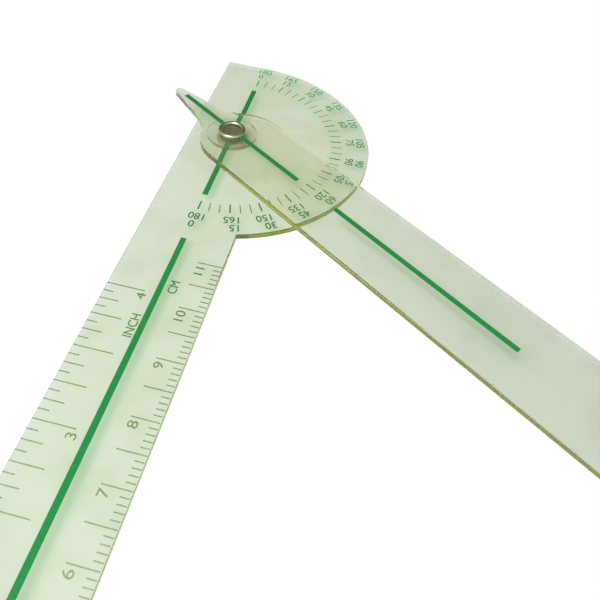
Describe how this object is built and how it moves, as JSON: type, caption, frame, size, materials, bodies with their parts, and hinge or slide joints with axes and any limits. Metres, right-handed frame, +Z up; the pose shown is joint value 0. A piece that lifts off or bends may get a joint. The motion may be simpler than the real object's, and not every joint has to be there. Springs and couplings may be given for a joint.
{
  "type": "pocket goniometer",
  "caption": "Clear pocket goniometer: a flat ruler arm with a half-round degree head and a pointer arm that turns on a tubular eyelet.",
  "frame": {"origin": "middle of the whole tool's box with the pointer arm at a reading of 125 degrees, on the surface that it lies on", "axes": "+Z up out of the printed faces, parallel to the hinge axis; +Y along the ruler arm from its zero end to the head; +X towards the side that the head bulges to"},
  "size_m": [0.139, 0.173, 0.0044],
  "materials": {
    "clear_sheet": "clear, faintly green sheet, polished faces and cut edges",
    "clear_washer": "clear, colourless",
    "nickel_plate": "bright nickel plate"
  },
  "bodies": {
    "ruler": {"ruler_arm": "clear_sheet", "spacer_washer": "clear_washer", "back_washer": "nickel_plate", "eyelet": "nickel_plate"},
    "pointer": {"pointer_arm": "clear_sheet"}
  },
  "joints": [
    {"name": "arm_hinge", "type": "hinge", "parent": "ruler", "child": "pointer", "pos_m": [-0.05417, 0.0585, 0.00346], "axis": [0, 0, -1], "continuous": true}
  ]
}
